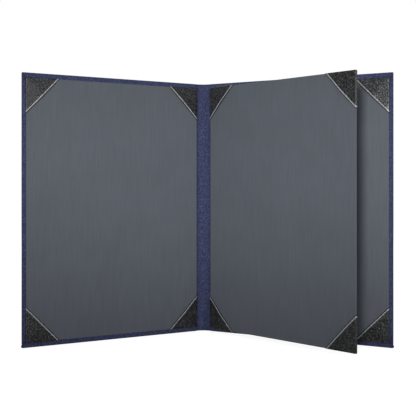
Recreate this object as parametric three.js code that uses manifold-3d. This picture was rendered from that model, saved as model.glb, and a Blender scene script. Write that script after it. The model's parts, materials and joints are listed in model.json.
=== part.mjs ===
// A menu cover that stands open: two turned-edge covers on a soft spine, and one leaf hinged inside.
// Each cover and each side of the leaf carries a liner card with a folded pocket over every corner.
// Millimetres. Each cover is modelled lying flat, as it is made on the bench, with its inside up:
// x runs from the hinge line to the outer edge, y runs from the foot to the head, and z is the height.
// The covers are then stood on their feet, so in the whole part +Z is up and the covers open to -Y.
import * as THREE from "three";
import { mergeVertices } from "three/addons/utils/BufferGeometryUtils.js";
import Module from "manifold-3d";

const wasm = await Module();
wasm.setup();

// How far the covers and the leaf are open, in degrees.
const coverAngle = 30.5;
const leafAngle = 49.3;

// The covers, with the hinge line as their inner edge.
const coverHeight = 298.5;
const coverReach = 223.5;
const boardThickness = 2.3;
const clothThickness = 0.4;
const turnIn = 15;
const foldRadius = 0.8;
const mitreGap = 0.3;
const nibReach = 1.3;
const nibWidth = 3;
const nibTipWidth = 1;
const nibFoot = 0.4;

// The glue line that parts two pieces lying on each other.
const glue = 0.1;

// The spine, from hinge line to hinge line.
const spineWidth = 16;
const spineRise = 2.5;
const hingeGap = 0.55;
const spineEndGap = 0.15;
const hingeDepth = 0.6;
const headTurnIn = 15;

// The lining strip over the spine, glued down under both liners.
const liningThickness = 0.3;
const liningReach = 14;

// The liner cards, and the borders of cloth that they leave free at the head, the foot and the outer edge.
const headBorder = 5.6;
const outerBorder = 4;
const cardInset = 1.5;
const cardThickness = 1;
const reliefDepth = 0.5;
const reliefMargin = 0.3;

// The corner pockets.
const pocketLeg = 39;
const pocketRise = 1.3;
const leatherThickness = 0.35;
const hemWidth = 5;
const hemRise = 0.3;
const flapDepth = 10;

// The leaf, which is narrower than the liners, and the guard strip that carries it.
const leafShort = 4.5;
const leafAxisInset = 4.5;
const leafAxisGap = 0.4;
const leafCardGap = 1.6;
const guardThickness = 0.4;
const guardFoot = 8;
const guardBelowPockets = 4;
const leafStripReach = 14;

// What follows from those sizes.
const radians = THREE.MathUtils.degToRad;
const turnInTop = glue + clothThickness;
const clothBottom = -boardThickness - glue - clothThickness;
const cardLevel = turnInTop + glue;
const cardTop = cardLevel + cardThickness;
const cardHeight = coverHeight - 2 * headBorder;
const cardWidth = coverReach - cardInset - outerBorder;
const leafCardWidth = cardWidth - leafShort;
const cardFoot = headBorder;
const liningPlay = reliefDepth - liningThickness;
const liningLevel = cardLevel + liningPlay / 4;
const leafAxisLevel = spineWidth / 2 - hingeDepth;
const wrap = glue + leatherThickness;
const innerSpan = pocketLeg + guardBelowPockets;
const farAway = 2 * coverHeight;

const colours = {
  navy: 0x3a405d,
  board: 0x8b8578,
  satin: 0x5c5f67,
  leatherette: 0x303236,
};

function material(color, roughness) {
  return new THREE.MeshStandardMaterial({ color, roughness, metalness: 0 });
}

const navyCloth = material(colours.navy, 0.85);
const greyBoard = material(colours.board, 0.95);
const satinCard = material(colours.satin, 0.55);
const leatherette = material(colours.leatherette, 0.5);

// Three.js shapes and the joins and cuts between them.

function solidOf(geometry) {
  const bare = geometry.index ? geometry.toNonIndexed() : geometry.clone();
  bare.deleteAttribute("normal");
  bare.deleteAttribute("uv");
  const merged = mergeVertices(bare, 1e-4);
  return new wasm.Manifold(
    new wasm.Mesh({
      numProp: 3,
      vertProperties: new Float32Array(merged.attributes.position.array),
      triVerts: new Uint32Array(merged.index.array),
    }),
  );
}

function geometryOf(solid) {
  const mesh = solid.getMesh();
  const geometry = new THREE.BufferGeometry();
  geometry.setAttribute("position", new THREE.BufferAttribute(mesh.vertProperties, 3));
  geometry.setIndex(new THREE.BufferAttribute(mesh.triVerts, 1));
  const faceted = geometry.toNonIndexed();
  faceted.computeVertexNormals();
  return faceted;
}

function shapeOf(points) {
  return new THREE.Shape(points.map(([x, y]) => new THREE.Vector2(x, y)));
}

// A flat piece: an outline seen from above, between two heights.
function sheet(points, low, high) {
  const options = { depth: high - low, bevelEnabled: false };
  return solidOf(new THREE.ExtrudeGeometry(shapeOf(points), options).translate(0, 0, low));
}

function rectangle(x0, y0, x1, y1) {
  return [
    [x0, y0],
    [x1, y0],
    [x1, y1],
    [x0, y1],
  ];
}

function block(x0, x1, y0, y1, z0, z1) {
  return sheet(rectangle(x0, y0, x1, y1), z0, z1);
}

// A long piece: a section across the hinge line (x and height), between two distances from the foot.
const sectionAcross = new THREE.Matrix4().makeBasis(
  new THREE.Vector3(1, 0, 0),
  new THREE.Vector3(0, 0, 1),
  new THREE.Vector3(0, -1, 0),
);

function strip(shape, start, end, curveSegments = 12) {
  const options = { depth: end - start, bevelEnabled: false, curveSegments };
  const geometry = new THREE.ExtrudeGeometry(shape, options);
  return solidOf(geometry.applyMatrix4(sectionAcross).translate(0, end, 0));
}

function union(solids) {
  return solids.reduce((whole, next) => whole.add(next));
}

function difference(whole, cuts) {
  return cuts.reduce((rest, cut) => rest.subtract(cut), whole);
}

function part(name, solid, look) {
  const mesh = new THREE.Mesh(geometryOf(solid), look);
  mesh.name = name;
  return mesh;
}

function groupOf(...children) {
  const group = new THREE.Group();
  group.add(...children);
  return group;
}

// The cover: a grey board in cloth that is turned in over three edges and runs on over the spine.

const boardEdge = hingeGap + clothThickness + glue;
const boardEnd = coverReach - clothThickness - glue;
const boardFoot = clothThickness + glue;
const boardHead = coverHeight - boardFoot;

function coverBoard() {
  return block(boardEdge, boardEnd, boardFoot, boardHead, -boardThickness, 0);
}

// The whole cover's outside with its three folded edges rounded.
function clothEnvelope() {
  const inside = foldRadius;
  const outline = rectangle(-2 * foldRadius, inside, coverReach - inside, coverHeight - inside);
  const height = turnInTop - clothBottom;
  const options = {
    depth: height - 2 * foldRadius,
    bevelThickness: foldRadius,
    bevelSize: foldRadius,
    bevelSegments: 3,
  };
  const geometry = new THREE.ExtrudeGeometry(shapeOf(outline), options);
  return solidOf(geometry.translate(0, 0, clothBottom + foldRadius));
}

// The cut where two turn-ins meet at an outer corner, a narrow slit on the diagonal.
function mitre(atHead) {
  const tip = clothThickness + foldRadius;
  const half = mitreGap * Math.SQRT1_2;
  const toward = (x, y) => [coverReach - x, atHead ? coverHeight - y : y];
  const corners = [
    toward(turnIn + half, turnIn - half),
    toward(tip + half, tip - half),
    toward(tip - half, tip + half),
    toward(turnIn - half, turnIn + half),
  ];
  return sheet(atHead ? corners : corners.reverse(), glue / 2, turnInTop + glue);
}

function coverCloth() {
  const boardRoom = block(
    hingeGap + clothThickness,
    coverReach - clothThickness,
    clothThickness,
    coverHeight - clothThickness,
    -boardThickness - glue,
    glue,
  );
  const window = block(0, coverReach - turnIn, turnIn, coverHeight - turnIn, 0, turnInTop + glue);
  const beyondHinge = block(-farAway, hingeGap, -farAway, farAway, -farAway, farAway);
  const liningRoom = block(
    0,
    boardEdge,
    headBorder - glue,
    coverHeight - headBorder + glue,
    -hingeDepth,
    turnInTop + glue,
  );
  const folded = difference(clothEnvelope(), [
    boardRoom,
    window,
    beyondHinge,
    liningRoom,
    mitre(false),
    mitre(true),
  ]);
  return folded.add(cornerNib());
}

// The cloth bunched in the mitre, which pokes out past the outer corner at the foot.
function cornerNib() {
  const root = coverReach - 2 * clothThickness;
  const end = coverReach + nibReach;
  const outline = [
    [root, foldRadius],
    [end, nibFoot],
    [end, nibFoot + nibTipWidth],
    [root, foldRadius + nibWidth],
  ];
  const middle = -boardThickness / 2;
  const nib = sheet(outline, middle - clothThickness, middle + clothThickness);
  const insideCloth = coverReach - clothThickness;
  const boardRoom = block(0, insideCloth, clothThickness, coverHeight, -boardThickness - glue, glue);
  return nib.subtract(boardRoom);
}

// The lining on a cover: a lip down the board's edge, and a tongue under the liner between its pockets.
function coverLining() {
  const lip = block(
    hingeGap,
    hingeGap + liningThickness,
    headBorder,
    coverHeight - headBorder,
    -hingeDepth + glue / 2,
    liningLevel + liningThickness,
  );
  const tongue = block(
    hingeGap,
    liningReach,
    cardFoot + innerSpan,
    coverHeight - cardFoot - innerSpan,
    liningLevel,
    liningLevel + liningThickness,
  );
  return lip.add(tongue);
}

// The soft spine: an arc of cloth and lining from hinge line to hinge line.

const spineHalf = spineWidth / 2;
const spineRadius = (spineHalf ** 2 + spineRise ** 2) / (2 * spineRise);
const spineMiddle = spineRadius - spineRise;
const liningFace = hingeDepth;

// A band of the spine's arc, between two heights over its middle line.
function spineBand(low, high) {
  const sweep = Math.asin((spineHalf - spineEndGap) / spineRadius);
  const shape = new THREE.Shape();
  shape.absarc(0, spineMiddle, spineRadius - low, -Math.PI / 2 - sweep, -Math.PI / 2 + sweep, false);
  shape.absarc(0, spineMiddle, spineRadius - high, -Math.PI / 2 + sweep, -Math.PI / 2 - sweep, true);
  return shape;
}

function spineCloth() {
  const outside = -liningFace;
  const single = strip(spineBand(outside, outside + clothThickness), 0, coverHeight);
  const doubled = spineBand(outside + clothThickness / 2, outside + 2 * clothThickness);
  return union([
    single,
    strip(doubled, 0, headTurnIn),
    strip(doubled, coverHeight - headTurnIn, coverHeight),
  ]);
}

function spineLining() {
  const band = spineBand(liningFace - liningThickness, liningFace);
  return strip(band, headBorder, coverHeight - headBorder);
}

// The liner card, its back relieved for the pockets' flaps and for the strip at its hinge side.

// The two flaps of a pocket seen from behind, from a corner at 0, 0; the ends are cut back at 45 degrees.
function flapOutline(outer, reach, depth) {
  return [
    [outer, outer],
    [reach, outer],
    [reach - depth + outer, depth],
    [depth, depth],
    [depth, reach - depth + outer],
    [outer, reach],
  ];
}

function cornerTurns(width) {
  return [
    { height: "bottom", side: "inner", x: 0, y: 0, quarter: 0 },
    { height: "bottom", side: "outer", x: width, y: 0, quarter: 1 },
    { height: "top", side: "outer", x: width, y: cardHeight, quarter: 2 },
    { height: "top", side: "inner", x: 0, y: cardHeight, quarter: 3 },
  ];
}

function linerCard(width) {
  const card = block(0, width, 0, cardHeight, 0, cardThickness);
  const outline = flapOutline(
    -wrap,
    pocketLeg + 2 * reliefMargin,
    flapDepth + reliefMargin,
  );
  const flapRoom = sheet(outline, -glue, reliefDepth);
  const corners = cornerTurns(width).map(({ x, y, quarter }) =>
    flapRoom.rotate([0, 0, 90 * quarter]).translate([x, y, 0]),
  );
  const stripRoom = block(
    -wrap,
    liningReach + reliefMargin,
    innerSpan - reliefMargin,
    cardHeight - innerSpan + reliefMargin,
    -glue,
    reliefDepth,
  );
  return difference(card, [...corners, stripRoom]);
}

// A sheet folded along lines: points in plan, flat panels between them, and the height at each point.
function foldedSheet(points, panels, heightAt, low, high) {
  const positions = [];
  const triangle = (...corners) => corners.forEach((corner) => positions.push(...corner));
  const at = (index, level) => {
    const [x, y] = points[index];
    return [x, y, heightAt(x, y) + level];
  };
  const edges = new Map();
  for (const panel of panels) {
    for (let i = 1; i < panel.length - 1; i += 1) {
      const [a, b, c] = [panel[0], panel[i], panel[i + 1]];
      triangle(at(a, high), at(b, high), at(c, high));
      triangle(at(c, low), at(b, low), at(a, low));
    }
    panel.forEach((from, i) => {
      const to = panel[(i + 1) % panel.length];
      if (edges.has(`${to} ${from}`)) edges.delete(`${to} ${from}`);
      else edges.set(`${from} ${to}`, [from, to]);
    });
  }
  for (const [from, to] of edges.values()) {
    triangle(at(from, low), at(to, low), at(to, high));
    triangle(at(from, low), at(to, high), at(from, high));
  }
  const geometry = new THREE.BufferGeometry();
  geometry.setAttribute("position", new THREE.Float32BufferAttribute(positions, 3));
  return solidOf(geometry);
}

// One corner pocket: leatherette folded over the card's corner, its face lifted into a low tent whose
// ridge runs from the tip to the middle of the hemmed edge. The corner lies at 0, 0 and z = 0 is the
// card's face.
function cornerPocket() {
  const tip = -wrap;
  const leg = pocketLeg;
  const middle = (leg + tip) / 2;
  const tentHeight = (x, y) => (pocketRise * (Math.min(x, y) - tip)) / (middle - tip);
  const face = foldedSheet(
    [
      [tip, tip],
      [leg, tip],
      [middle, middle],
      [tip, leg],
    ],
    [
      [0, 1, 2],
      [0, 2, 3],
    ],
    tentHeight,
    glue,
    glue + leatherThickness,
  );
  const hemOnLeg = leg - hemWidth * Math.SQRT2;
  const hemOnRidge = middle - hemWidth * Math.SQRT1_2;
  const hem = foldedSheet(
    [
      [hemOnLeg, tip],
      [leg, tip],
      [middle, middle],
      [tip, leg],
      [tip, hemOnLeg],
      [hemOnRidge, hemOnRidge],
    ],
    [
      [0, 1, 2, 5],
      [5, 2, 3, 4],
    ],
    tentHeight,
    glue + leatherThickness / 2,
    glue + leatherThickness + hemRise,
  );
  const flapTop = -cardThickness + (reliefDepth + leatherThickness) / 2;
  const flapBottom = flapTop - leatherThickness;
  const sides = sheet(
    [
      [tip, tip],
      [leg, tip],
      [leg, -glue],
      [-glue, -glue],
      [-glue, leg],
      [tip, leg],
    ],
    flapBottom,
    glue + leatherThickness / 2,
  );
  const flaps = sheet(flapOutline(tip, leg, flapDepth), flapBottom, flapTop);
  return union([face, hem, sides, flaps]);
}

const pocketSolid = cornerPocket();

// A liner card with its four pockets, the card's back on z = 0.
function liner(prefix, width) {
  const pockets = cornerTurns(width).map(({ height, side, x, y, quarter }) => {
    const pocket = part(`${prefix}_pocket_${height}_${side}`, pocketSolid, leatherette);
    pocket.position.set(x, y, cardThickness);
    pocket.rotation.z = (quarter * Math.PI) / 2;
    return pocket;
  });
  return groupOf(part(`${prefix}_liner`, linerCard(width), satinCard), ...pockets);
}

// A cover with its lining and liner, hinge line on the y axis and hinge axis at z = 0.
function cover(side) {
  const panel = liner(side, cardWidth);
  panel.position.set(cardInset, cardFoot, cardLevel);
  const flat = groupOf(
    part(`${side}_board`, coverBoard(), greyBoard),
    part(`cover_cloth_${side}`, coverCloth(), navyCloth),
    part(`spine_lining_${side}`, coverLining(), navyCloth),
    panel,
  );
  flat.position.z = hingeDepth;
  return flat;
}

// The guard: a cloth angle glued on the back liner's face, standing up to the leaf's hinge line.
function leafGuard() {
  const foot = cardFoot + innerSpan;
  const head = coverHeight - foot;
  const inner = leafAxisInset - guardThickness / 2;
  const low = cardTop + glue;
  const section = shapeOf([
    [inner, low],
    [inner + guardFoot, low],
    [inner + guardFoot, low + guardThickness],
    [inner + guardThickness, low + guardThickness],
    [inner + guardThickness, leafAxisLevel - leafAxisGap],
    [inner, leafAxisLevel - leafAxisGap],
  ]);
  return strip(section, foot, head);
}

// The leaf, hinge line on the y axis at z = 0: two liner cards back to back on one cloth strip.
function leaf() {
  const stripFoot = cardFoot + innerSpan;
  const hingeStrip = block(
    leafAxisGap,
    leafStripReach,
    stripFoot,
    coverHeight - stripFoot,
    -guardThickness / 2,
    guardThickness / 2,
  );
  const front = liner("leaf_front", leafCardWidth);
  front.position.set(leafCardGap, cardFoot, glue / 2);
  const back = liner("leaf_back", leafCardWidth);
  back.position.set(leafCardGap, cardFoot, -glue / 2);
  back.scale.z = -1;
  return groupOf(part("leaf_hinge_strip", hingeStrip, navyCloth), front, back);
}

// Stands a flat piece on its foot: its inside turns to -Y.
function standing(flat) {
  const stood = groupOf(flat);
  stood.rotation.x = Math.PI / 2;
  return stood;
}

const backFlat = cover("back");
backFlat.add(part("leaf_hinge_guard", leafGuard(), navyCloth));
const backCover = groupOf(standing(backFlat));
backCover.position.x = spineHalf;
backCover.rotation.z = -radians(coverAngle);

const frontCover = groupOf(standing(cover("front")));
frontCover.position.x = -spineHalf;
frontCover.rotation.z = radians(coverAngle);
frontCover.scale.x = -1;

const spine = standing(
  groupOf(
    part("cover_cloth_spine", spineCloth(), navyCloth),
    part("spine_lining_middle", spineLining(), navyCloth),
  ),
);

const leafOnHinge = groupOf(standing(leaf()));
leafOnHinge.position.set(leafAxisInset, -(leafAxisLevel + hingeDepth), 0);
leafOnHinge.rotation.z = -radians(leafAngle - coverAngle);
backCover.add(leafOnHinge);

// The origin is the middle of the spine's folded cloth at its foot.
const assembled = groupOf(backCover, frontCover, spine);
assembled.position.y = -(spineRise + liningFace - clothThickness);

const menuCover = groupOf(assembled);

export default menuCover;
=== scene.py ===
"""A menu cover that stands open, dressed round its packed frame.

Two covers of bookcloth over board are joined by a soft spine. Each cover and each side of the leaf
carries a satin card with a folded leatherette pocket over every corner. Lengths are in metres.
A flat piece is made lying down in its own frame: x runs from the hinge line to the outer edge,
y from the foot to the head, and z is the height over the board. Its matrix then stands it up.
"""

import json
import math

import bmesh
import bpy
import numpy as np
from bpy.props import FloatProperty, FloatVectorProperty, PointerProperty
from mathutils import Matrix, Vector


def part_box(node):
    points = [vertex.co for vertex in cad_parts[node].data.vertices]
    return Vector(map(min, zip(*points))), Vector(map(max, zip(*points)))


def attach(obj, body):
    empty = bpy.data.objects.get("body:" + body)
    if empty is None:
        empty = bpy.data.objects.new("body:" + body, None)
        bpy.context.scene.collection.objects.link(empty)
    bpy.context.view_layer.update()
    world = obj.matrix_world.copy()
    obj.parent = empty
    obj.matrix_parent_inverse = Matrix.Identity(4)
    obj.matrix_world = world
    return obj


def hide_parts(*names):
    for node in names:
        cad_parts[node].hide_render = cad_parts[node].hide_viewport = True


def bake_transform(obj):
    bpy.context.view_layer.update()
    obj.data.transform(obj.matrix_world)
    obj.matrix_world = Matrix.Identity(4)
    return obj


bl_info = {
    "name": "Menu Cover",
    "version": (1, 0, 0),
    "blender": (4, 5, 0),
    "location": "View3D > Sidebar > Menu Cover",
    "description": "Dresses the frame of an album-corner menu cover in cloth, card and leatherette",
    "category": "Add Mesh",
}

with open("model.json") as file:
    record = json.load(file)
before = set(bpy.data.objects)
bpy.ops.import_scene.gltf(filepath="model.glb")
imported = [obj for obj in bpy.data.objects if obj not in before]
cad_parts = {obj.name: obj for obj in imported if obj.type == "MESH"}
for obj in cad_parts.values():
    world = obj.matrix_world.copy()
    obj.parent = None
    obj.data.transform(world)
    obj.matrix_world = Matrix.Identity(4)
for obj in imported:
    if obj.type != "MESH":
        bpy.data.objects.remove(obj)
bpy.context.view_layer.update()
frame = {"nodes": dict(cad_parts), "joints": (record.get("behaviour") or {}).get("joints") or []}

MM = 0.001
GLOSSY_SHARE = 0.1
FLOOR_GLOW = 0.9
WORLD_LEVEL = 0.22


# What the frame says.


def node_size(name):
    low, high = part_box(name)
    return high - low


def joint_place(name):
    """Where a joint's axis meets the floor."""
    joint = next(j for j in frame["joints"] if j["name"] == name)
    return Vector((joint["pos_m"][0], joint["pos_m"][1], 0))


def open_angle(node):
    """The angle between a flat node and the X axis, from its outline seen from above."""
    plan = np.array([v.co.xy for v in frame["nodes"][node].data.vertices])
    along = np.linalg.eigh(np.cov(plan.T))[1][:, -1]
    return abs(math.atan(along[1] / along[0]))


BACK_HINGE = joint_place("spine_fold")
FRONT_HINGE = joint_place("front_fold")
LEAF_HINGE = joint_place("leaf_turn")
COVER_ANGLE = open_angle("back_board")
LEAF_ANGLE = open_angle("leaf_hinge_strip")
COVER_HEIGHT = node_size("cover_cloth_spine").z
CARD_HEIGHT = node_size("back_liner").z
LINING_HEIGHT = node_size("spine_lining_middle").z
GUARD_HEIGHT = node_size("leaf_hinge_guard").z
POCKET_SPAN = node_size("back_pocket_bottom_inner").z


# Sizes and finishes that can be changed.


def length(name, description, millimetres):
    return FloatProperty(name=name, description=description, default=millimetres * MM, unit="LENGTH")


def colour(name, description, red, green, blue):
    """A colour property whose default is given as screen values from 0 to 255."""
    default = tuple(((c / 255 + 0.055) / 1.055) ** 2.4 for c in (red, green, blue))
    return FloatVectorProperty(name=name, description=description, default=default, subtype="COLOR")


class CoverSizes(bpy.types.PropertyGroup):
    """The turned-edge covers."""

    reach: length("Reach", "Hinge line to outer edge", 223.5)
    board: length("Board", "Thickness of the board", 2.3)
    cloth: length("Cloth", "Thickness of the cloth", 0.4)
    glue: length("Glue", "Glue line between two pieces", 0.1)
    turn_in: length("Turn-in", "Width of the cloth turned in over the board", 15)
    edge_radius: length("Edge radius", "Rounding of the turned edges", 0.8)
    hinge_gap: length("Hinge gap", "Hinge line to the board's wrapped edge", 0.55)
    hinge_depth: length("Hinge depth", "Board's inner face over the hinge axis", 0.6)
    mitre_gap: length("Mitre gap", "Slit between two turn-ins at a corner", 0.3)
    nib_reach: length("Nib reach", "How far the bunched cloth pokes out at the foot", 1.3)


class SpineSizes(bpy.types.PropertyGroup):
    """The soft spine."""

    rise: length("Rise", "How far the spine bows out between the hinge lines", 2.5)
    lining: length("Lining", "Thickness of the lining", 0.3)
    lining_reach: length("Lining reach", "Length of the lining's tongue under the card", 14)
    lining_edge: length("Lining edge", "Hinge line to the lining's edge at the pockets", 1.4)
    crease: length("Crease", "Depth of the crease down the middle", 0.3)
    crease_width: length("Crease width", "Half width of the crease", 0.7)


class CardSizes(bpy.types.PropertyGroup):
    """The liner cards and the leaf."""

    thickness: length("Thickness", "Thickness of a card", 1.0)
    inset: length("Inset", "Hinge line to a cover's card", 1.5)
    cover_width: length("Cover card width", "Width of a card on a cover", 218)
    leaf_width: length("Leaf card width", "Width of a card on the leaf", 213.5)
    leaf_inset: length("Leaf inset", "Leaf's hinge line to its cards", 1.6)
    edge_radius: length("Edge radius", "Rounding of the cut edges", 0.15)
    guard: length("Guard", "Thickness of the leaf's hinge cloth", 0.4)
    guard_foot: length("Guard foot", "Width of the hinge cloth on the back card", 8)
    strip_reach: length("Strip reach", "Length of the hinge cloth between the leaf's cards", 14)


class PocketSizes(bpy.types.PropertyGroup):
    """The folded corner pockets."""

    leather: length("Leatherette", "Thickness of the leatherette", 0.35)
    rise: length("Rise", "Height of the tent at the middle of the hem", 1.3)
    fold_radius: length("Fold radius", "Rounding where it folds over the card's edge", 0.5)
    ridge_radius: length("Ridge radius", "Rounding of the tent's ridge", 0.8)
    hem_width: length("Hem width", "Width of the turned-under hem", 5)
    hem_rise: length("Hem rise", "What the turned-under hem adds to the height", 0.3)
    hem_nose: length("Hem nose", "Rounding of the hem's free edge", 1.7)
    flap: length("Flap", "Width of the flaps behind the card", 10)


class Finishes(bpy.types.PropertyGroup):
    """The colours."""

    navy: colour("Bookcloth", "Navy bookcloth", 76, 82, 116)
    navy_dark: colour("Bookcloth pits", "The pits between its pebbles", 47, 52, 82)
    satin: colour("Card", "Satin-faced liner card", 95, 100, 108)
    satin_dark: colour("Card streaks", "The darker streaks along the card's grain", 86, 91, 98)
    leather: colour("Leatherette", "Grained leatherette", 74, 75, 77)
    # Near-white painted highlight for the hem's fold on every pocket.
    hem_highlight: colour("Painted hem highlight", "Painted highlight along the hem's fold", 212, 214, 217)
    board: colour("Board", "Raw grey board", 139, 133, 120)
    floor: colour("Floor", "Pale studio floor", 176, 176, 176)


class Studio(bpy.types.PropertyGroup):
    """The camera."""

    camera: FloatVectorProperty(
        name="Camera",
        description="Where the camera stands, looking along +Y",
        default=(-0.0421, -1.0617, 0.1757),
        subtype="XYZ",
        unit="LENGTH",
    )
    focal: FloatProperty(name="Focal length", description="Lens, in millimetres", default=75.7)
    shift: FloatVectorProperty(
        name="Shift", description="Shift of the view", default=(0.0947, -0.0536), size=2
    )


SETTINGS = {
    "menu_cover": CoverSizes,
    "menu_spine": SpineSizes,
    "menu_cards": CardSizes,
    "menu_pockets": PocketSizes,
    "menu_finishes": Finishes,
    "menu_studio": Studio,
}


# Frames that stand the flat pieces up.


def standing(hinge, angle, mirrored=False):
    """From a flat piece's own frame, with z over the hinge axis, to its place in the open cover."""
    mirror = Matrix.Diagonal((-1 if mirrored else 1, 1, 1, 1))
    turn = Matrix.Rotation(angle, 4, "Z")
    stand = Matrix.Rotation(math.pi / 2, 4, "X")
    return Matrix.Translation(hinge) @ turn @ mirror @ stand


def cover_frame(side):
    """A cover's own frame, with z over the board's inner face."""
    lift = Matrix.Translation((0, 0, bpy.context.scene.menu_cover.hinge_depth))
    if side == "back":
        return standing(BACK_HINGE, -COVER_ANGLE) @ lift
    return standing(FRONT_HINGE, COVER_ANGLE, mirrored=True) @ lift


def leaf_frame(mirrored=False):
    """The leaf's own frame, with z over its middle, seen from the front or from the back."""
    flip = Matrix.Diagonal((1, 1, -1 if mirrored else 1, 1))
    return standing(LEAF_HINGE, -LEAF_ANGLE) @ flip


def card_level(cover):
    """The back of a cover's card over the board's inner face."""
    return 2 * cover.glue + cover.cloth


def liners():
    """Every card: its name, body, width and the frame whose origin is its back's inner foot corner."""
    cover = bpy.context.scene.menu_cover
    cards = bpy.context.scene.menu_cards
    foot = (COVER_HEIGHT - CARD_HEIGHT) / 2
    on_cover = Matrix.Translation((cards.inset, foot, card_level(cover)))
    on_leaf = Matrix.Translation((cards.leaf_inset, foot, cover.glue / 2))
    return [
        ("back", "back_cover", cards.cover_width, cover_frame("back") @ on_cover),
        ("front", "front_cover", cards.cover_width, cover_frame("front") @ on_cover),
        ("leaf_front", "leaf", cards.leaf_width, leaf_frame() @ on_leaf),
        ("leaf_back", "leaf", cards.leaf_width, leaf_frame(mirrored=True) @ on_leaf),
    ]


# Meshes.


def smooth_step(value):
    value = min(1.0, max(0.0, value))
    return value * value * (3 - 2 * value)


def loft(rings):
    """A closed solid through closed rings of points, with a flat cap on each end."""
    bm = bmesh.new()
    rows = [[bm.verts.new(point) for point in ring] for ring in rings]
    count = len(rows[0])
    for lower, upper in zip(rows, rows[1:]):
        for i in range(count):
            j = (i + 1) % count
            bm.faces.new((lower[i], lower[j], upper[j], upper[i]))
    bm.faces.new(rows[0])
    bm.faces.new(reversed(rows[-1]))
    return bm


def finished_piece(name, bm, matrix, material, sharp=40):
    """Makes an object of a mesh in its own frame, standing in the open cover, shaded smooth."""
    bm.transform(matrix)
    bmesh.ops.recalc_face_normals(bm, faces=bm.faces)
    mesh = bpy.data.meshes.new(name)
    bm.to_mesh(mesh)
    bm.free()
    mesh.materials.append(material)
    mesh.shade_smooth()
    mesh.set_sharp_from_angle(angle=math.radians(sharp))
    piece = bpy.data.objects.new(name, mesh)
    bpy.context.scene.collection.objects.link(piece)
    return piece


def apply_modifiers(piece):
    """Fixes what the modifiers make into the piece's own mesh."""
    bpy.context.view_layer.update()
    evaluated = piece.evaluated_get(bpy.context.evaluated_depsgraph_get())
    mesh = bpy.data.meshes.new_from_object(evaluated)
    piece.modifiers.clear()
    piece.data = mesh


# Shader nodes.


def socket(group, name, kind, is_input, default=None):
    made = group.interface.new_socket(
        name=name, in_out="INPUT" if is_input else "OUTPUT", socket_type=kind
    )
    if default is not None:
        made.default_value = default
    return made


def add_node(tree, kind, **values):
    node = tree.nodes.new(kind)
    for name, value in values.items():
        setattr(node, name, value)
    return node


def noise(tree, vector, scale, detail=2.0, roughness=0.5):
    node = add_node(tree, "ShaderNodeTexNoise")
    node.inputs["Scale"].default_value = scale
    node.inputs["Detail"].default_value = detail
    node.inputs["Roughness"].default_value = roughness
    tree.links.new(vector, node.inputs["Vector"])
    return node.outputs["Fac"]


def ramp(tree, value, low, high, to_low=0.0, to_high=1.0):
    node = add_node(tree, "ShaderNodeMapRange", clamp=True)
    node.inputs["From Min"].default_value = low
    node.inputs["From Max"].default_value = high
    node.inputs["To Min"].default_value = to_low
    node.inputs["To Max"].default_value = to_high
    tree.links.new(value, node.inputs["Value"])
    return node.outputs["Result"]


def arithmetic(tree, operation, first, second):
    node = add_node(tree, "ShaderNodeMath", operation=operation)
    for slot, value in zip(node.inputs, (first, second)):
        if isinstance(value, (int, float)):
            slot.default_value = value
        else:
            tree.links.new(value, slot)
    return node.outputs["Value"]


def pebble_group():
    """Pebbled grain for cloth and leatherette: pits and pebbles at two scales, and a height for bump."""
    group = bpy.data.node_groups.new("Pebble grain", "ShaderNodeTree")
    socket(group, "Vector", "NodeSocketVector", True)
    socket(group, "Scale", "NodeSocketFloat", True, 1200.0)
    socket(group, "Pebble", "NodeSocketColor", True)
    socket(group, "Pit", "NodeSocketColor", True)
    socket(group, "Contrast", "NodeSocketFloat", True, 0.5)
    socket(group, "Color", "NodeSocketColor", False)
    socket(group, "Height", "NodeSocketFloat", False)
    inside = group.nodes.new("NodeGroupInput")
    outside = group.nodes.new("NodeGroupOutput")
    cells = add_node(group, "ShaderNodeTexVoronoi", feature="F1")
    cells.inputs["Randomness"].default_value = 1.0
    group.links.new(inside.outputs["Vector"], cells.inputs["Vector"])
    group.links.new(inside.outputs["Scale"], cells.inputs["Scale"])
    domes = ramp(group, cells.outputs["Distance"], 0.05, 0.8, 1.0, 0.0)
    fine = add_node(group, "ShaderNodeTexNoise")
    fine.inputs["Detail"].default_value = 3.0
    group.links.new(inside.outputs["Vector"], fine.inputs["Vector"])
    fine_scale = arithmetic(group, "MULTIPLY", inside.outputs["Scale"], 0.6)
    group.links.new(fine_scale, fine.inputs["Scale"])
    broken = ramp(group, fine.outputs["Fac"], 0.35, 0.65, 0.1, 1.0)
    height = arithmetic(group, "MULTIPLY", domes, broken)
    speckle = ramp(group, height, 0.0, 0.6)
    centred = arithmetic(group, "SUBTRACT", speckle, 0.5)
    spread = arithmetic(group, "MULTIPLY", centred, inside.outputs["Contrast"])
    factor = arithmetic(group, "ADD", spread, 0.5)
    mixed = add_node(group, "ShaderNodeMix", data_type="RGBA", clamp_factor=True)
    group.links.new(factor, mixed.inputs["Factor"])
    group.links.new(inside.outputs["Pit"], mixed.inputs[6])
    group.links.new(inside.outputs["Pebble"], mixed.inputs[7])
    group.links.new(mixed.outputs[2], outside.inputs["Color"])
    group.links.new(height, outside.inputs["Height"])
    return group


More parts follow.
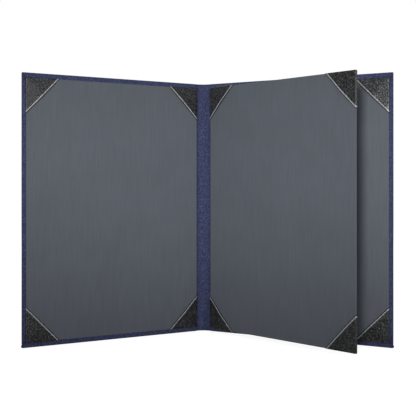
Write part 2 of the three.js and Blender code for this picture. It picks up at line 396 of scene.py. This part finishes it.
def streak_group():
    """Faint streaks along the upright grain of a card or board, with broad clouds over them."""
    group = bpy.data.node_groups.new("Upright streaks", "ShaderNodeTree")
    socket(group, "Vector", "NodeSocketVector", True)
    socket(group, "Light", "NodeSocketColor", True)
    socket(group, "Dark", "NodeSocketColor", True)
    socket(group, "Streak Scale", "NodeSocketFloat", True, 900.0)
    socket(group, "Color", "NodeSocketColor", False)
    socket(group, "Height", "NodeSocketFloat", False)
    inside = group.nodes.new("NodeGroupInput")
    outside = group.nodes.new("NodeGroupOutput")
    stretched = add_node(group, "ShaderNodeVectorMath", operation="MULTIPLY")
    stretched.inputs[1].default_value = (1.0, 1.0, 0.04)
    group.links.new(inside.outputs["Vector"], stretched.inputs[0])
    streaks = add_node(group, "ShaderNodeTexNoise")
    streaks.inputs["Detail"].default_value = 2.0
    group.links.new(stretched.outputs["Vector"], streaks.inputs["Vector"])
    group.links.new(inside.outputs["Streak Scale"], streaks.inputs["Scale"])
    clouds = noise(group, inside.outputs["Vector"], 25.0)
    both = arithmetic(group, "MULTIPLY", streaks.outputs["Fac"], 0.7)
    some = arithmetic(group, "MULTIPLY", clouds, 0.3)
    sum_of = arithmetic(group, "ADD", both, some)
    factor = ramp(group, sum_of, 0.3, 0.7)
    mixed = add_node(group, "ShaderNodeMix", data_type="RGBA")
    group.links.new(factor, mixed.inputs["Factor"])
    group.links.new(inside.outputs["Dark"], mixed.inputs[6])
    group.links.new(inside.outputs["Light"], mixed.inputs[7])
    group.links.new(mixed.outputs[2], outside.inputs["Color"])
    group.links.new(streaks.outputs["Fac"], outside.inputs["Height"])
    return group


def rgba(value):
    return (*value, 1.0)


def place_group(tree, name):
    node = tree.nodes.new("ShaderNodeGroup")
    node.node_tree = bpy.data.node_groups[name]
    return node


def new_material(name, roughness, specular):
    """A material with a bare Principled BSDF, and the tree it is in."""
    material = bpy.data.materials.new(name)
    material.use_nodes = True
    shader = material.node_tree.nodes["Principled BSDF"]
    shader.inputs["Roughness"].default_value = roughness
    shader.inputs["Specular IOR Level"].default_value = specular
    return material, material.node_tree, shader


def add_bump(tree, shader, height, distance, strength):
    bump = tree.nodes.new("ShaderNodeBump")
    bump.inputs["Distance"].default_value = distance
    bump.inputs["Strength"].default_value = strength
    tree.links.new(height, bump.inputs["Height"])
    tree.links.new(bump.outputs["Normal"], shader.inputs["Normal"])


def object_vector(tree):
    return tree.nodes.new("ShaderNodeTexCoord").outputs["Object"]


def bookcloth():
    """Navy bookcloth with a fine pebbled grain."""
    finishes = bpy.context.scene.menu_finishes
    material, tree, shader = new_material("bookcloth", 0.8, 0.2)
    grain = place_group(tree, "Pebble grain")
    tree.links.new(object_vector(tree), grain.inputs["Vector"])
    grain.inputs["Scale"].default_value = 1000.0
    grain.inputs["Contrast"].default_value = 1.7
    grain.inputs["Pebble"].default_value = rgba(finishes.navy)
    grain.inputs["Pit"].default_value = rgba(finishes.navy_dark)
    tree.links.new(grain.outputs["Color"], shader.inputs["Base Color"])
    add_bump(tree, shader, grain.outputs["Height"], 0.1 * MM, 1.0)
    return material


def grained_leatherette(name, pebble, roughness, relief, contrast):
    """Leatherette: rounded pebbles between dark pits."""
    material, tree, shader = new_material(name, roughness, 0.4)
    grain = place_group(tree, "Pebble grain")
    tree.links.new(object_vector(tree), grain.inputs["Vector"])
    grain.inputs["Scale"].default_value = 900.0
    grain.inputs["Contrast"].default_value = contrast
    grain.inputs["Pebble"].default_value = rgba(pebble)
    grain.inputs["Pit"].default_value = rgba([c * 0.15 for c in pebble])
    tree.links.new(grain.outputs["Color"], shader.inputs["Base Color"])
    add_bump(tree, shader, grain.outputs["Height"], relief, 1.0)
    return material


def leatherette():
    """Black leatherette over the pockets."""
    black = bpy.context.scene.menu_finishes.leather
    return grained_leatherette("grained_leather", black, 0.34, 0.18 * MM, 2.0)


def painted_highlight_leatherette():
    """A painted highlight along the hem's fold: near-white colour on the same leatherette grain, smoothed
    and a little glossier.
    """
    stretched = bpy.context.scene.menu_finishes.hem_highlight
    return grained_leatherette("painted_highlight_leather", stretched, 0.3, 0.1 * MM, 0.5)


def painted_shade_leatherette():
    """Painted shade under the hem's rolled edge: the leatherette at a tenth of its colour, rough and dark.
    """
    painted_shade_colour = [c * 0.1 for c in bpy.context.scene.menu_finishes.leather]
    return grained_leatherette("shaded_leather", painted_shade_colour, 0.7, 0.1 * MM, 0.5)


def satin_card():
    """Satin-faced dark grey card with faint upright streaks."""
    finishes = bpy.context.scene.menu_finishes
    material, tree, shader = new_material("satin_facing", 0.55, 0.2)
    streaks = place_group(tree, "Upright streaks")
    tree.links.new(object_vector(tree), streaks.inputs["Vector"])
    streaks.inputs["Light"].default_value = rgba(finishes.satin)
    streaks.inputs["Dark"].default_value = rgba(finishes.satin_dark)
    tree.links.new(streaks.outputs["Color"], shader.inputs["Base Color"])
    add_bump(tree, shader, streaks.outputs["Height"], 0.05 * MM, 0.3)
    return material


def raw_board():
    """Raw grey board."""
    finishes = bpy.context.scene.menu_finishes
    material, tree, shader = new_material("raw_board", 0.95, 0.2)
    streaks = place_group(tree, "Upright streaks")
    tree.links.new(object_vector(tree), streaks.inputs["Vector"])
    streaks.inputs["Light"].default_value = rgba(finishes.board)
    streaks.inputs["Dark"].default_value = rgba([c * 0.7 for c in finishes.board])
    tree.links.new(streaks.outputs["Color"], shader.inputs["Base Color"])
    return material


def seen_directly(tree):
    """1 on the rays that show the background as white, and a share of that on glossy rays."""
    path = tree.nodes.new("ShaderNodeLightPath")
    shown = arithmetic(tree, "MAXIMUM", path.outputs["Is Camera Ray"], path.outputs["Is Transmission Ray"])
    glossy = arithmetic(tree, "MULTIPLY", path.outputs["Is Glossy Ray"], GLOSSY_SHARE)
    return arithmetic(tree, "MAXIMUM", shown, glossy)


def studio_floor():
    """A pale floor that the camera sees as white outside the object's shadow."""
    finishes = bpy.context.scene.menu_finishes
    material, tree, shader = new_material("floor", 0.9, 0.0)
    shader.inputs["Base Color"].default_value = rgba(finishes.floor)
    glow = tree.nodes.new("ShaderNodeEmission")
    seen = seen_directly(tree)
    tree.links.new(arithmetic(tree, "MULTIPLY", seen, FLOOR_GLOW), glow.inputs["Strength"])
    both = tree.nodes.new("ShaderNodeAddShader")
    tree.links.new(shader.outputs["BSDF"], both.inputs[0])
    tree.links.new(glow.outputs["Emission"], both.inputs[1])
    tree.links.new(both.outputs["Shader"], tree.nodes["Material Output"].inputs["Surface"])
    return material


def material(name, maker):
    """The named material, made the first time it is asked for."""
    return bpy.data.materials.get(name) or maker()


# The covers' cloth.


def cut(bm, place, normal):
    """Adds a line of edges where a plane meets the mesh."""
    geometry = bm.verts[:] + bm.edges[:] + bm.faces[:]
    bmesh.ops.bisect_plane(bm, geom=geometry, plane_co=place, plane_no=normal)


def cover_cloth_mesh(cover):
    """The wrapped cloth as a surface: a slab with round edges, open behind the card and at the mitres."""
    low = -cover.board - cover.glue - cover.cloth
    high = cover.glue + cover.cloth
    bm = bmesh.new()
    bmesh.ops.create_cube(bm, size=1)
    size = Vector((cover.reach - cover.hinge_gap, COVER_HEIGHT, high - low))
    centre = Vector(((cover.reach + cover.hinge_gap) / 2, COVER_HEIGHT / 2, (high + low) / 2))
    bmesh.ops.scale(bm, vec=size, verts=bm.verts)
    bmesh.ops.translate(bm, vec=centre, verts=bm.verts)
    bmesh.ops.bevel(
        bm, geom=bm.edges[:], offset=cover.edge_radius, segments=6, profile=0.5, affect="EDGES"
    )
    window_end = cover.reach - cover.turn_in
    cut(bm, (window_end, 0, 0), (1, 0, 0))
    cut(bm, (0, cover.turn_in, 0), (0, 1, 0))
    cut(bm, (0, COVER_HEIGHT - cover.turn_in, 0), (0, 1, 0))
    half = cover.mitre_gap / 2
    for foot, slope in ((0, 1), (COVER_HEIGHT, -1)):
        across = Vector((1, slope, 0)).normalized()
        for side in (-half, half):
            cut(bm, Vector((cover.reach, foot, 0)) + across * side, across)
    tip = cover.edge_radius + cover.cloth
    hinge_side = cover.hinge_gap + cover.edge_radius
    doomed = []
    for face in bm.faces:
        middle = face.calc_center_median()
        if face.normal.z < 0.9 or middle.z < 0:
            continue
        from_head = min(middle.y, COVER_HEIGHT - middle.y)
        from_edge = cover.reach - middle.x
        in_window = from_edge > cover.turn_in and from_head > cover.turn_in
        in_mitre = abs(from_edge - from_head) < cover.mitre_gap / 2 and from_edge > tip
        if (in_window and middle.x > hinge_side) or (in_mitre and from_edge < cover.turn_in):
            doomed.append(face)
    bmesh.ops.delete(bm, geom=doomed, context="FACES")
    return bm


def nib_mesh(cover):
    """The cloth bunched in the mitre, which pokes out past the outer corner at the foot."""
    half_width = 1.6 * MM
    half_height = 0.8 * MM
    foot = 1.7 * MM
    crease_depth = 0.12 * MM
    crease_pitch = 2600
    taper = 0.35
    bm = bmesh.new()
    bmesh.ops.create_icosphere(bm, subdivisions=3, radius=1)
    half = Vector((cover.nib_reach, half_width, half_height))
    bmesh.ops.scale(bm, vec=half, verts=bm.verts)
    for vert in bm.verts:
        vert.co.z += math.sin(vert.co.y * crease_pitch) * crease_depth
        vert.co.y *= 1 - taper * max(0, vert.co.x / cover.nib_reach)
    place = Vector((cover.reach - cover.cloth / 2, foot, -cover.board / 2))
    bmesh.ops.translate(bm, vec=place, verts=bm.verts)
    return bm


class MENU_COVER_OT_cloth(bpy.types.Operator):
    """Wrap both covers in bookcloth, turned in over three edges and mitred at the outer corners"""

    bl_idname = "menu_cover.cloth"
    bl_label = "Cover Cloth"

    def execute(self, context):
        cover = context.scene.menu_cover
        navy = material("bookcloth", bookcloth)
        for side in ("back", "front"):
            matrix = cover_frame(side)
            piece = finished_piece(f"cloth_{side}", cover_cloth_mesh(cover), matrix, navy)
            solid = piece.modifiers.new("cloth", "SOLIDIFY")
            solid.thickness = cover.cloth
            solid.offset = -1
            apply_modifiers(piece)
            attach(piece, f"{side}_cover")
            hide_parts(f"cover_cloth_{side}")
            nib = finished_piece(f"cloth_nib_{side}", nib_mesh(cover), matrix, navy, sharp=80)
            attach(nib, f"{side}_cover")
        return {"FINISHED"}


class MENU_COVER_OT_boards(bpy.types.Operator):
    """Give the boards inside the cloth their raw grey finish"""

    bl_idname = "menu_cover.boards"
    bl_label = "Boards"

    def execute(self, context):
        for side in ("back", "front"):
            mesh = frame["nodes"][f"{side}_board"].data
            mesh.materials.clear()
            mesh.materials.append(material("raw_board", raw_board))
        return {"FINISHED"}


# The spine.


class SpineLine:
    """The line across the spine's back half: along the arc from the crease, then along the back cover."""

    def __init__(self, cover, spine):
        self.half = BACK_HINGE.x
        self.radius = (self.half**2 + spine.rise**2) / (2 * spine.rise)
        self.sweep = math.asin(self.half / self.radius)
        self.arc = self.radius * self.sweep
        self.hinge_depth = cover.hinge_depth
        self.outer = BACK_HINGE.y + spine.rise - self.radius
        self.crease = spine.crease
        self.crease_width = spine.crease_width

    def point(self, along, height):
        """A point in plan, at a distance from the crease and a height towards the inside."""
        if along <= self.arc:
            angle = along / self.radius
            dip = self.crease * math.exp(-((along / self.crease_width) ** 2))
            reach = self.radius - height + dip
            return Vector((reach * math.sin(angle), self.outer + reach * math.cos(angle), 0))
        flat = Vector((along - self.arc, 0, height))
        return standing(BACK_HINGE, -COVER_ANGLE) @ flat


def spaced(start, end, count):
    return [start + (end - start) * i / (count - 1) for i in range(count)]


def spine_rows(line, profile, stations):
    """Rings up the spine: profile gives (along, height) pairs, lower then upper face, for a station."""
    rings = []
    for level, shrink, end in stations:
        lower, upper = profile(end)
        ring = []
        for (along, low), (_, high) in zip(lower, upper):
            middle = (low + high) / 2
            ring.append((along, middle + (low - middle) * shrink))
        for (along, high), (_, low) in reversed(list(zip(upper, lower))):
            middle = (low + high) / 2
            ring.append((along, middle + (high - middle) * shrink))
        rings.append([line.point(a, h) + Vector((0, 0, level)) for a, h in ring])
    return rings


def rounded_ends(low, high, radius, levels, end):
    """Stations from low to high whose first and last few close the thickness in a round."""
    steps = (0, 0.3, 0.6, 0.85, 1)
    nose = []
    for step in steps:
        angle = step * math.pi / 2
        nose.append((low + radius * (1 - math.cos(angle)), max(0.08, math.sin(angle)), end))
    tail = [(low + high - level, shrink, end) for level, shrink, end in reversed(nose)]
    return nose + [(level, 1, end) for level in levels] + tail


class MENU_COVER_OT_spine(bpy.types.Operator):
    """Bend the soft spine and its lining from cover to cover, creased down the middle"""

    bl_idname = "menu_cover.spine"
    bl_label = "Spine"

    def execute(self, context):
        cover = context.scene.menu_cover
        spine = context.scene.menu_spine
        line = SpineLine(cover, spine)
        navy = material("bookcloth", bookcloth)
        lining_foot = (COVER_HEIGHT - LINING_HEIGHT) / 2
        tongue_foot = (COVER_HEIGHT - GUARD_HEIGHT) / 2
        axis_face = cover.hinge_depth
        climb_start = 0.3 * MM
        climb_length = 1.3 * MM
        tongue_lift = 0.35 * MM
        cloth_end = 0.75 * MM

        def lining_profile(end):
            lower, upper = [], []
            steps = spaced(0, line.arc - 0.3 * MM, 14)
            steps += spaced(line.arc - 0.1 * MM, line.arc + 1.0 * MM, 9)
            steps += spaced(line.arc + 1.15 * MM, line.arc + end, 4)
            for along in steps:
                past = (along - line.arc + climb_start) / climb_length
                climb = (card_level(cover) + tongue_lift) * smooth_step(past)
                upper.append((along, axis_face + climb))
                lower.append((along, axis_face + climb - spine.lining))
            return lower, upper

        def cloth_profile(end):
            outer = -cover.hinge_depth
            steps = spaced(0, line.arc - 0.3 * MM, 14) + spaced(line.arc, line.arc + end, 5)
            lower = [(along, outer) for along in steps]
            upper = [(along, outer + cover.cloth) for along in steps]
            return lower, upper

        middle = spaced(tongue_foot, COVER_HEIGHT - tongue_foot, 24)
        edge, reach = spine.lining_edge, spine.lining_reach
        step = 0.05 * MM
        lining_head = COVER_HEIGHT - lining_foot
        stations = rounded_ends(lining_foot, lining_head, spine.lining / 2, [], edge)
        half = len(stations) // 2
        first = spaced(lining_foot + MM, tongue_foot - step, 6)
        inner = [(level, 1, edge) for level in first]
        inner += [(level, 1, reach) for level in middle]
        inner += [(COVER_HEIGHT - level, 1, edge) for level in reversed(first)]
        lining_stations = stations[:half] + inner + stations[half:]
        cloth_levels = spaced(MM, COVER_HEIGHT - MM, 40)
        cloth_stations = rounded_ends(0, COVER_HEIGHT, cover.cloth / 2, cloth_levels, cloth_end)

        def make(name, profile, rows, side, replaced):
            rings = spine_rows(line, profile, rows)
            mirror = Matrix.Diagonal((-1 if side == "front" else 1, 1, 1, 1))
            piece = finished_piece(name, loft(rings), mirror, navy, sharp=60)
            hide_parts(*replaced)
            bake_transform(piece)

        for side in ("back", "front"):
            make(
                f"spine_lining_{side}_half",
                lining_profile,
                lining_stations,
                side,
                ("spine_lining_middle", f"spine_lining_{side}"),
            )
            make(f"spine_cloth_{side}_half", cloth_profile, cloth_stations, side, ("cover_cloth_spine",))
        return {"FINISHED"}


# The cards.


class MENU_COVER_OT_cards(bpy.types.Operator):
    """Finish the four liner cards and soften their cut edges"""

    bl_idname = "menu_cover.cards"
    bl_label = "Cards"

    def execute(self, context):
        cards = context.scene.menu_cards
        for name, _, _, _ in liners():
            node = frame["nodes"][f"{name}_liner"]
            node.data.materials.clear()
            node.data.materials.append(material("satin_facing", satin_card))
            node.modifiers.new("weld", "WELD").merge_threshold = 0.01 * MM
            soften = node.modifiers.new("edges", "BEVEL")
            soften.width = cards.edge_radius
            soften.segments = 2
            soften.limit_method = "ANGLE"
        return {"FINISHED"}


# The corner pockets.


class PocketForm:
    """A pocket cut along the lines x + y = c, with the card's corner and face as the origin."""

    def __init__(self, cover, cards, pockets):
        self.glue = cover.glue
        self.leather = pockets.leather
        self.tip = -(cover.glue + pockets.leather)
        self.leg = POCKET_SPAN + self.tip
        self.fold = pockets.fold_radius
        self.rise = pockets.rise
        self.ridge = pockets.ridge_radius
        self.hem_width = pockets.hem_width
        self.hem_rise = pockets.hem_rise
        self.hem_slope = 1.2 * MM
        self.hem_fade = 2 * MM
        self.nose = pockets.hem_nose
        self.nose_rings = 5
        # The last rings of the hem's nose carry painted shade.
        self.shaded_rings = 4
        # The three rings before those carry a painted highlight.
        self.highlight_rings = 3
        self.flap = pockets.flap
        self.flap_gap = 0.1 * MM
        self.flap_sink = 0.425 * MM
        self.flap_top = -cards.thickness + self.flap_sink
        self.flap_low = self.flap_top - pockets.leather
        self.first = -0.15 * MM
        self.last = self.leg + self.tip

    def tent(self, y, c):
        """Height of the tent over the card, with its ridge where x and y are equal."""
        x = c - y
        gap = abs(x - y)
        low = min(x, y) - max(0.0, self.ridge - gap) ** 2 / (4 * self.ridge)
        middle = self.last / 2
        return self.rise * max(0.0, low - self.tip) / (middle - self.tip)

    def hem(self, y, c):
        """What the turned-under hem adds to the height."""
        from_edge = (self.last - c) * math.sqrt(0.5)
        near_hem = smooth_step((self.hem_width - from_edge) / self.hem_slope + 0.5)
        return self.hem_rise * near_hem * smooth_step((y - self.tip) / self.hem_fade)

    def half(self, c):
        """Outer and inner points (x, y, z) from the flap's end behind the card to the ridge."""
        middle = c / 2
        end = min(self.flap, middle - self.flap_gap)
        outer, inner = [], []

        def add(y, z, y_in, z_in):
            y, y_in = min(y, middle), min(y_in, middle)
            outer.append(Vector((c - y, y, z)))
            inner.append(Vector((c - y_in, y_in, z_in)))

        start = self.tip + self.fold
        for y in spaced(max(end, start), start, 4):
            add(y, self.flap_low, y, self.flap_top)
        small = self.fold - self.leather
        for i in range(1, 5):
            angle = math.pi / 2 * i / 4
            s, k = math.sin(angle), math.cos(angle)
            add(
                start - self.fold * s,
                self.flap_low + self.fold * (1 - k),
                start - small * s,
                self.flap_top + small * (1 - k),
            )
        top = self.glue + self.leather
        for i in range(0, 5):
            angle = math.pi / 2 * i / 4
            s, k = math.sin(angle), math.cos(angle)
            y, y_in = start - self.fold * k, start - small * k
            lift = self.tent(max(y, self.tip), c) + self.hem(y, c)
            lift_in = self.tent(max(y_in, self.tip), c)
            add(
                y,
                top - self.fold * (1 - s) + lift,
                y_in,
                self.glue - small * (1 - s) + lift_in,
            )
        for y in spaced(start, middle, 14)[1:]:
            add(y, top + self.tent(y, c) + self.hem(y, c), y, self.glue + self.tent(y, c))
        return outer, inner

    def ring(self, c, shrink=1.0):
        outer, inner = self.half(c)

        def drawn(first, second):
            return [a.lerp(b, (1 - shrink) / 2) for a, b in zip(first, second)]

        def swapped(points):
            return [Vector((p.y, p.x, p.z)) for p in points]

        skin = drawn(outer, inner)
        lining = drawn(inner, outer)
        across = list(reversed(swapped(skin)))[1:]
        back = list(reversed(swapped(lining)))[1:]
        return skin + across + list(reversed(lining + back))

    def rings(self):
        nose_start = self.last - self.nose
        near_tip = spaced(self.first, 3 * MM, 6)
        over_face = spaced(4 * MM, nose_start - 8 * MM, 18)
        at_hem = spaced(nose_start - 7.6 * MM, nose_start, 14)
        rows = [self.ring(c) for c in near_tip + over_face + at_hem]
        for i in range(1, self.nose_rings + 1):
            angle = math.pi / 2 * i / self.nose_rings
            c = nose_start + self.nose * math.sin(angle)
            rows.append(self.ring(c, max(0.06, math.cos(angle))))
        return rows


class MENU_COVER_OT_pockets(bpy.types.Operator):
    """Fold a leatherette pocket over every corner of every card"""

    bl_idname = "menu_cover.pockets"
    bl_label = "Pockets"

    def execute(self, context):
        scene = context.scene
        form = PocketForm(scene.menu_cover, scene.menu_cards, scene.menu_pockets)
        rings = form.rings()
        skin = material("grained_leather", leatherette)
        highlight_skin = material("painted_highlight_leather", painted_highlight_leatherette)
        painted_shade_skin = material("shaded_leather", painted_shade_leatherette)
        shaded = form.shaded_rings * len(rings[0]) + 2
        highlight_faces = shaded + form.highlight_rings * len(rings[0])
        for prefix, body, width, matrix in liners():
            corners = [
                ("bottom_inner", 0, 0),
                ("bottom_outer", width, 0),
                ("top_outer", width, CARD_HEIGHT),
                ("top_inner", 0, CARD_HEIGHT),
            ]
            for quarter, (corner, x, y) in enumerate(corners):
                place = Matrix.Translation((x, y, scene.menu_cards.thickness))
                turn = Matrix.Rotation(math.pi / 2 * quarter, 4, "Z")
                name = f"{prefix}_pocket_{corner}"
                piece = finished_piece(f"{name}_fold", loft(rings), matrix @ place @ turn, skin, sharp=50)
                piece.data.materials.append(highlight_skin)
                piece.data.materials.append(painted_shade_skin)
                # The three rows before the last ones get the painted highlight.
                for face in piece.data.polygons[-highlight_faces:]:
                    face.material_index = 1
                # The last rows of the hem's nose and the end caps get the painted shade.
                for face in piece.data.polygons[-shaded:]:
                    face.material_index = 2
                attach(piece, body)
                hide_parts(name)
        return {"FINISHED"}


# The leaf's hinge.


def bent_strip(points, thickness, levels):
    """Rings of a strip of cloth that follows a line in plan, given at its middle."""
    sides = []
    for i in range(len(points)):
        before = points[max(0, i - 1)]
        after = points[min(len(points) - 1, i + 1)]
        along = (after - before).normalized()
        sides.append(Vector((-along.y, along.x, 0)) * thickness / 2)
    rings = []
    for level, shrink in levels:
        up = Vector((0, 0, level))
        left = [p + s * shrink + up for p, s in zip(points, sides)]
        right = [p - s * shrink + up for p, s in zip(points, sides)]
        rings.append(left + right[::-1])
    return rings


def rounded_corner(before, corner, after, radius, steps=6):
    """Points that round the corner of a line."""
    start = corner + (before - corner).normalized() * radius
    end = corner + (after - corner).normalized() * radius
    return [start.lerp(corner, t).lerp(corner.lerp(end, t), t) for t in spaced(0, 1, steps)]


class MENU_COVER_OT_leaf_hinge(bpy.types.Operator):
    """Hang the leaf on one bent strip of cloth between the back card and the leaf's cards"""

    bl_idname = "menu_cover.leaf_hinge"
    bl_label = "Leaf Hinge"

    def execute(self, context):
        cover = context.scene.menu_cover
        cards = context.scene.menu_cards
        foot_round = 0.6 * MM
        axis_round = 1.2 * MM
        flat = cover_frame("back")
        level = card_level(cover) + cards.thickness + cover.glue + cards.guard / 2
        axis = flat.inverted() @ LEAF_HINGE
        inner = Vector((axis.x, 0, level))
        foot_end = inner + Vector((cards.guard_foot, 0, 0))
        leaf = standing(LEAF_HINGE, -LEAF_ANGLE)
        leaf_end = flat.inverted() @ leaf @ Vector((cards.strip_reach, 0, 0))
        line = [foot_end, foot_end.lerp(inner, 0.5)]
        line += rounded_corner(foot_end, inner, axis, foot_round)
        line += [inner.lerp(axis, 0.4), inner.lerp(axis, 0.6)]
        line += rounded_corner(inner, axis, leaf_end, axis_round)
        line += [axis.lerp(leaf_end, 0.3), leaf_end]
        plan = [flat @ p for p in line]
        foot = (COVER_HEIGHT - GUARD_HEIGHT) / 2
        head = COVER_HEIGHT - foot
        thin = 0.1 * MM
        levels = [(foot, 0.3), (foot + thin, 1)]
        levels += [(z, 1) for z in spaced(foot + 2 * MM, head - 2 * MM, 12)]
        levels += [(head - thin, 1), (head, 0.3)]
        rings = bent_strip([Vector((p.x, p.y, 0)) for p in plan], cards.guard, levels)
        navy = material("bookcloth", bookcloth)
        piece = finished_piece("leaf_hinge_cloth", loft(rings), Matrix.Identity(4), navy)
        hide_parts("leaf_hinge_guard", "leaf_hinge_strip")
        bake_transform(piece)
        return {"FINISHED"}


# The stage.


def area_lamp(name, place, target, size, power):
    data = bpy.data.lights.new(name, "AREA")
    data.shape = "RECTANGLE"
    data.size, data.size_y = size
    data.energy = power
    lamp = bpy.data.objects.new(name, data)
    lamp.location = place
    lamp.rotation_euler = (Vector(target) - Vector(place)).to_track_quat("-Z", "Y").to_euler()
    bpy.context.scene.collection.objects.link(lamp)


def spot_lamp(name, place, target, cone, stretch, radius, power):
    """A soft-edged beam, stretched sideways."""
    data = bpy.data.lights.new(name, "SPOT")
    data.spot_size = math.radians(cone)
    data.spot_blend = 1.0
    data.shadow_soft_size = radius
    data.energy = power
    lamp = bpy.data.objects.new(name, data)
    lamp.location = place
    lamp.rotation_euler = (Vector(target) - Vector(place)).to_track_quat("-Z", "Y").to_euler()
    lamp.scale = (stretch, 1, 1)
    bpy.context.scene.collection.objects.link(lamp)


def studio_world():
    """Soft grey surroundings that the camera sees as white."""
    world = bpy.data.worlds.new("studio")
    world.use_nodes = True
    tree = world.node_tree
    sky = tree.nodes["Background"]
    sky.inputs["Color"].default_value = (1, 1, 1, 1)
    level = ramp(tree, seen_directly(tree), 0, 1, WORLD_LEVEL, 1.0)
    tree.links.new(level, sky.inputs["Strength"])
    return world


class MENU_COVER_OT_stage(bpy.types.Operator):
    """Set the floor, the soft light and the camera"""

    bl_idname = "menu_cover.stage"
    bl_label = "Stage"

    def execute(self, context):
        scene = context.scene
        studio = scene.menu_studio
        scene.world = studio_world()
        scene.view_settings.view_transform = "Standard"
        bm = bmesh.new()
        bmesh.ops.create_grid(bm, x_segments=1, y_segments=1, size=6)
        mesh = bpy.data.meshes.new("floor")
        bm.to_mesh(mesh)
        bm.free()
        mesh.materials.append(material("floor", studio_floor))
        floor = bpy.data.objects.new("floor", mesh)
        scene.collection.objects.link(floor)
        middle = (0, -0.06, 0.15)
        spot_lamp("key", (-0.42, -1.98, 0.45), (0.03, -0.1, 0.212), 15.8, 1.95, 0.16, 142)
        area_lamp("fill", (0.55, -1.07, 0.4), (-0.1, -0.1, 0.22), (0.3, 0.3), 2.5)
        area_lamp("back", (0.2, 1.6, 1.3), middle, (1.4, 1.0), 16)
        lens = bpy.data.cameras.new("camera")
        lens.lens = studio.focal
        lens.shift_x, lens.shift_y = studio.shift
        camera = bpy.data.objects.new("camera", lens)
        camera.location = studio.camera
        camera.rotation_euler = (math.pi / 2, 0, 0)
        scene.collection.objects.link(camera)
        scene.camera = camera
        return {"FINISHED"}


OPERATORS = (
    MENU_COVER_OT_stage,
    MENU_COVER_OT_boards,
    MENU_COVER_OT_cloth,
    MENU_COVER_OT_spine,
    MENU_COVER_OT_cards,
    MENU_COVER_OT_pockets,
    MENU_COVER_OT_leaf_hinge,
)


class MENU_COVER_PT_panel(bpy.types.Panel):
    """Lists the steps and the sizes that can be changed"""

    bl_idname = "MENU_COVER_PT_panel"
    bl_label = "Menu Cover"
    bl_space_type = "VIEW_3D"
    bl_region_type = "UI"
    bl_category = "Menu Cover"

    def draw(self, context):
        for step in OPERATORS:
            self.layout.operator(step.bl_idname)
        for name, settings in SETTINGS.items():
            box = self.layout.box()
            box.label(text=settings.__doc__)
            for key in settings.__annotations__:
                box.prop(getattr(context.scene, name), key)


def register():
    for name, settings in SETTINGS.items():
        bpy.utils.register_class(settings)
        setattr(bpy.types.Scene, name, PointerProperty(type=settings))
    for step in (*OPERATORS, MENU_COVER_PT_panel):
        bpy.utils.register_class(step)


def unregister():
    for step in reversed((*OPERATORS, MENU_COVER_PT_panel)):
        bpy.utils.unregister_class(step)
    for name, settings in reversed(SETTINGS.items()):
        delattr(bpy.types.Scene, name)
        bpy.utils.unregister_class(settings)


def main():
    register()
    pebble_group()
    streak_group()
    for step in OPERATORS:
        family, name = step.bl_idname.split(".")
        getattr(getattr(bpy.ops, family), name)()


if __name__ == "__main__":
    main()
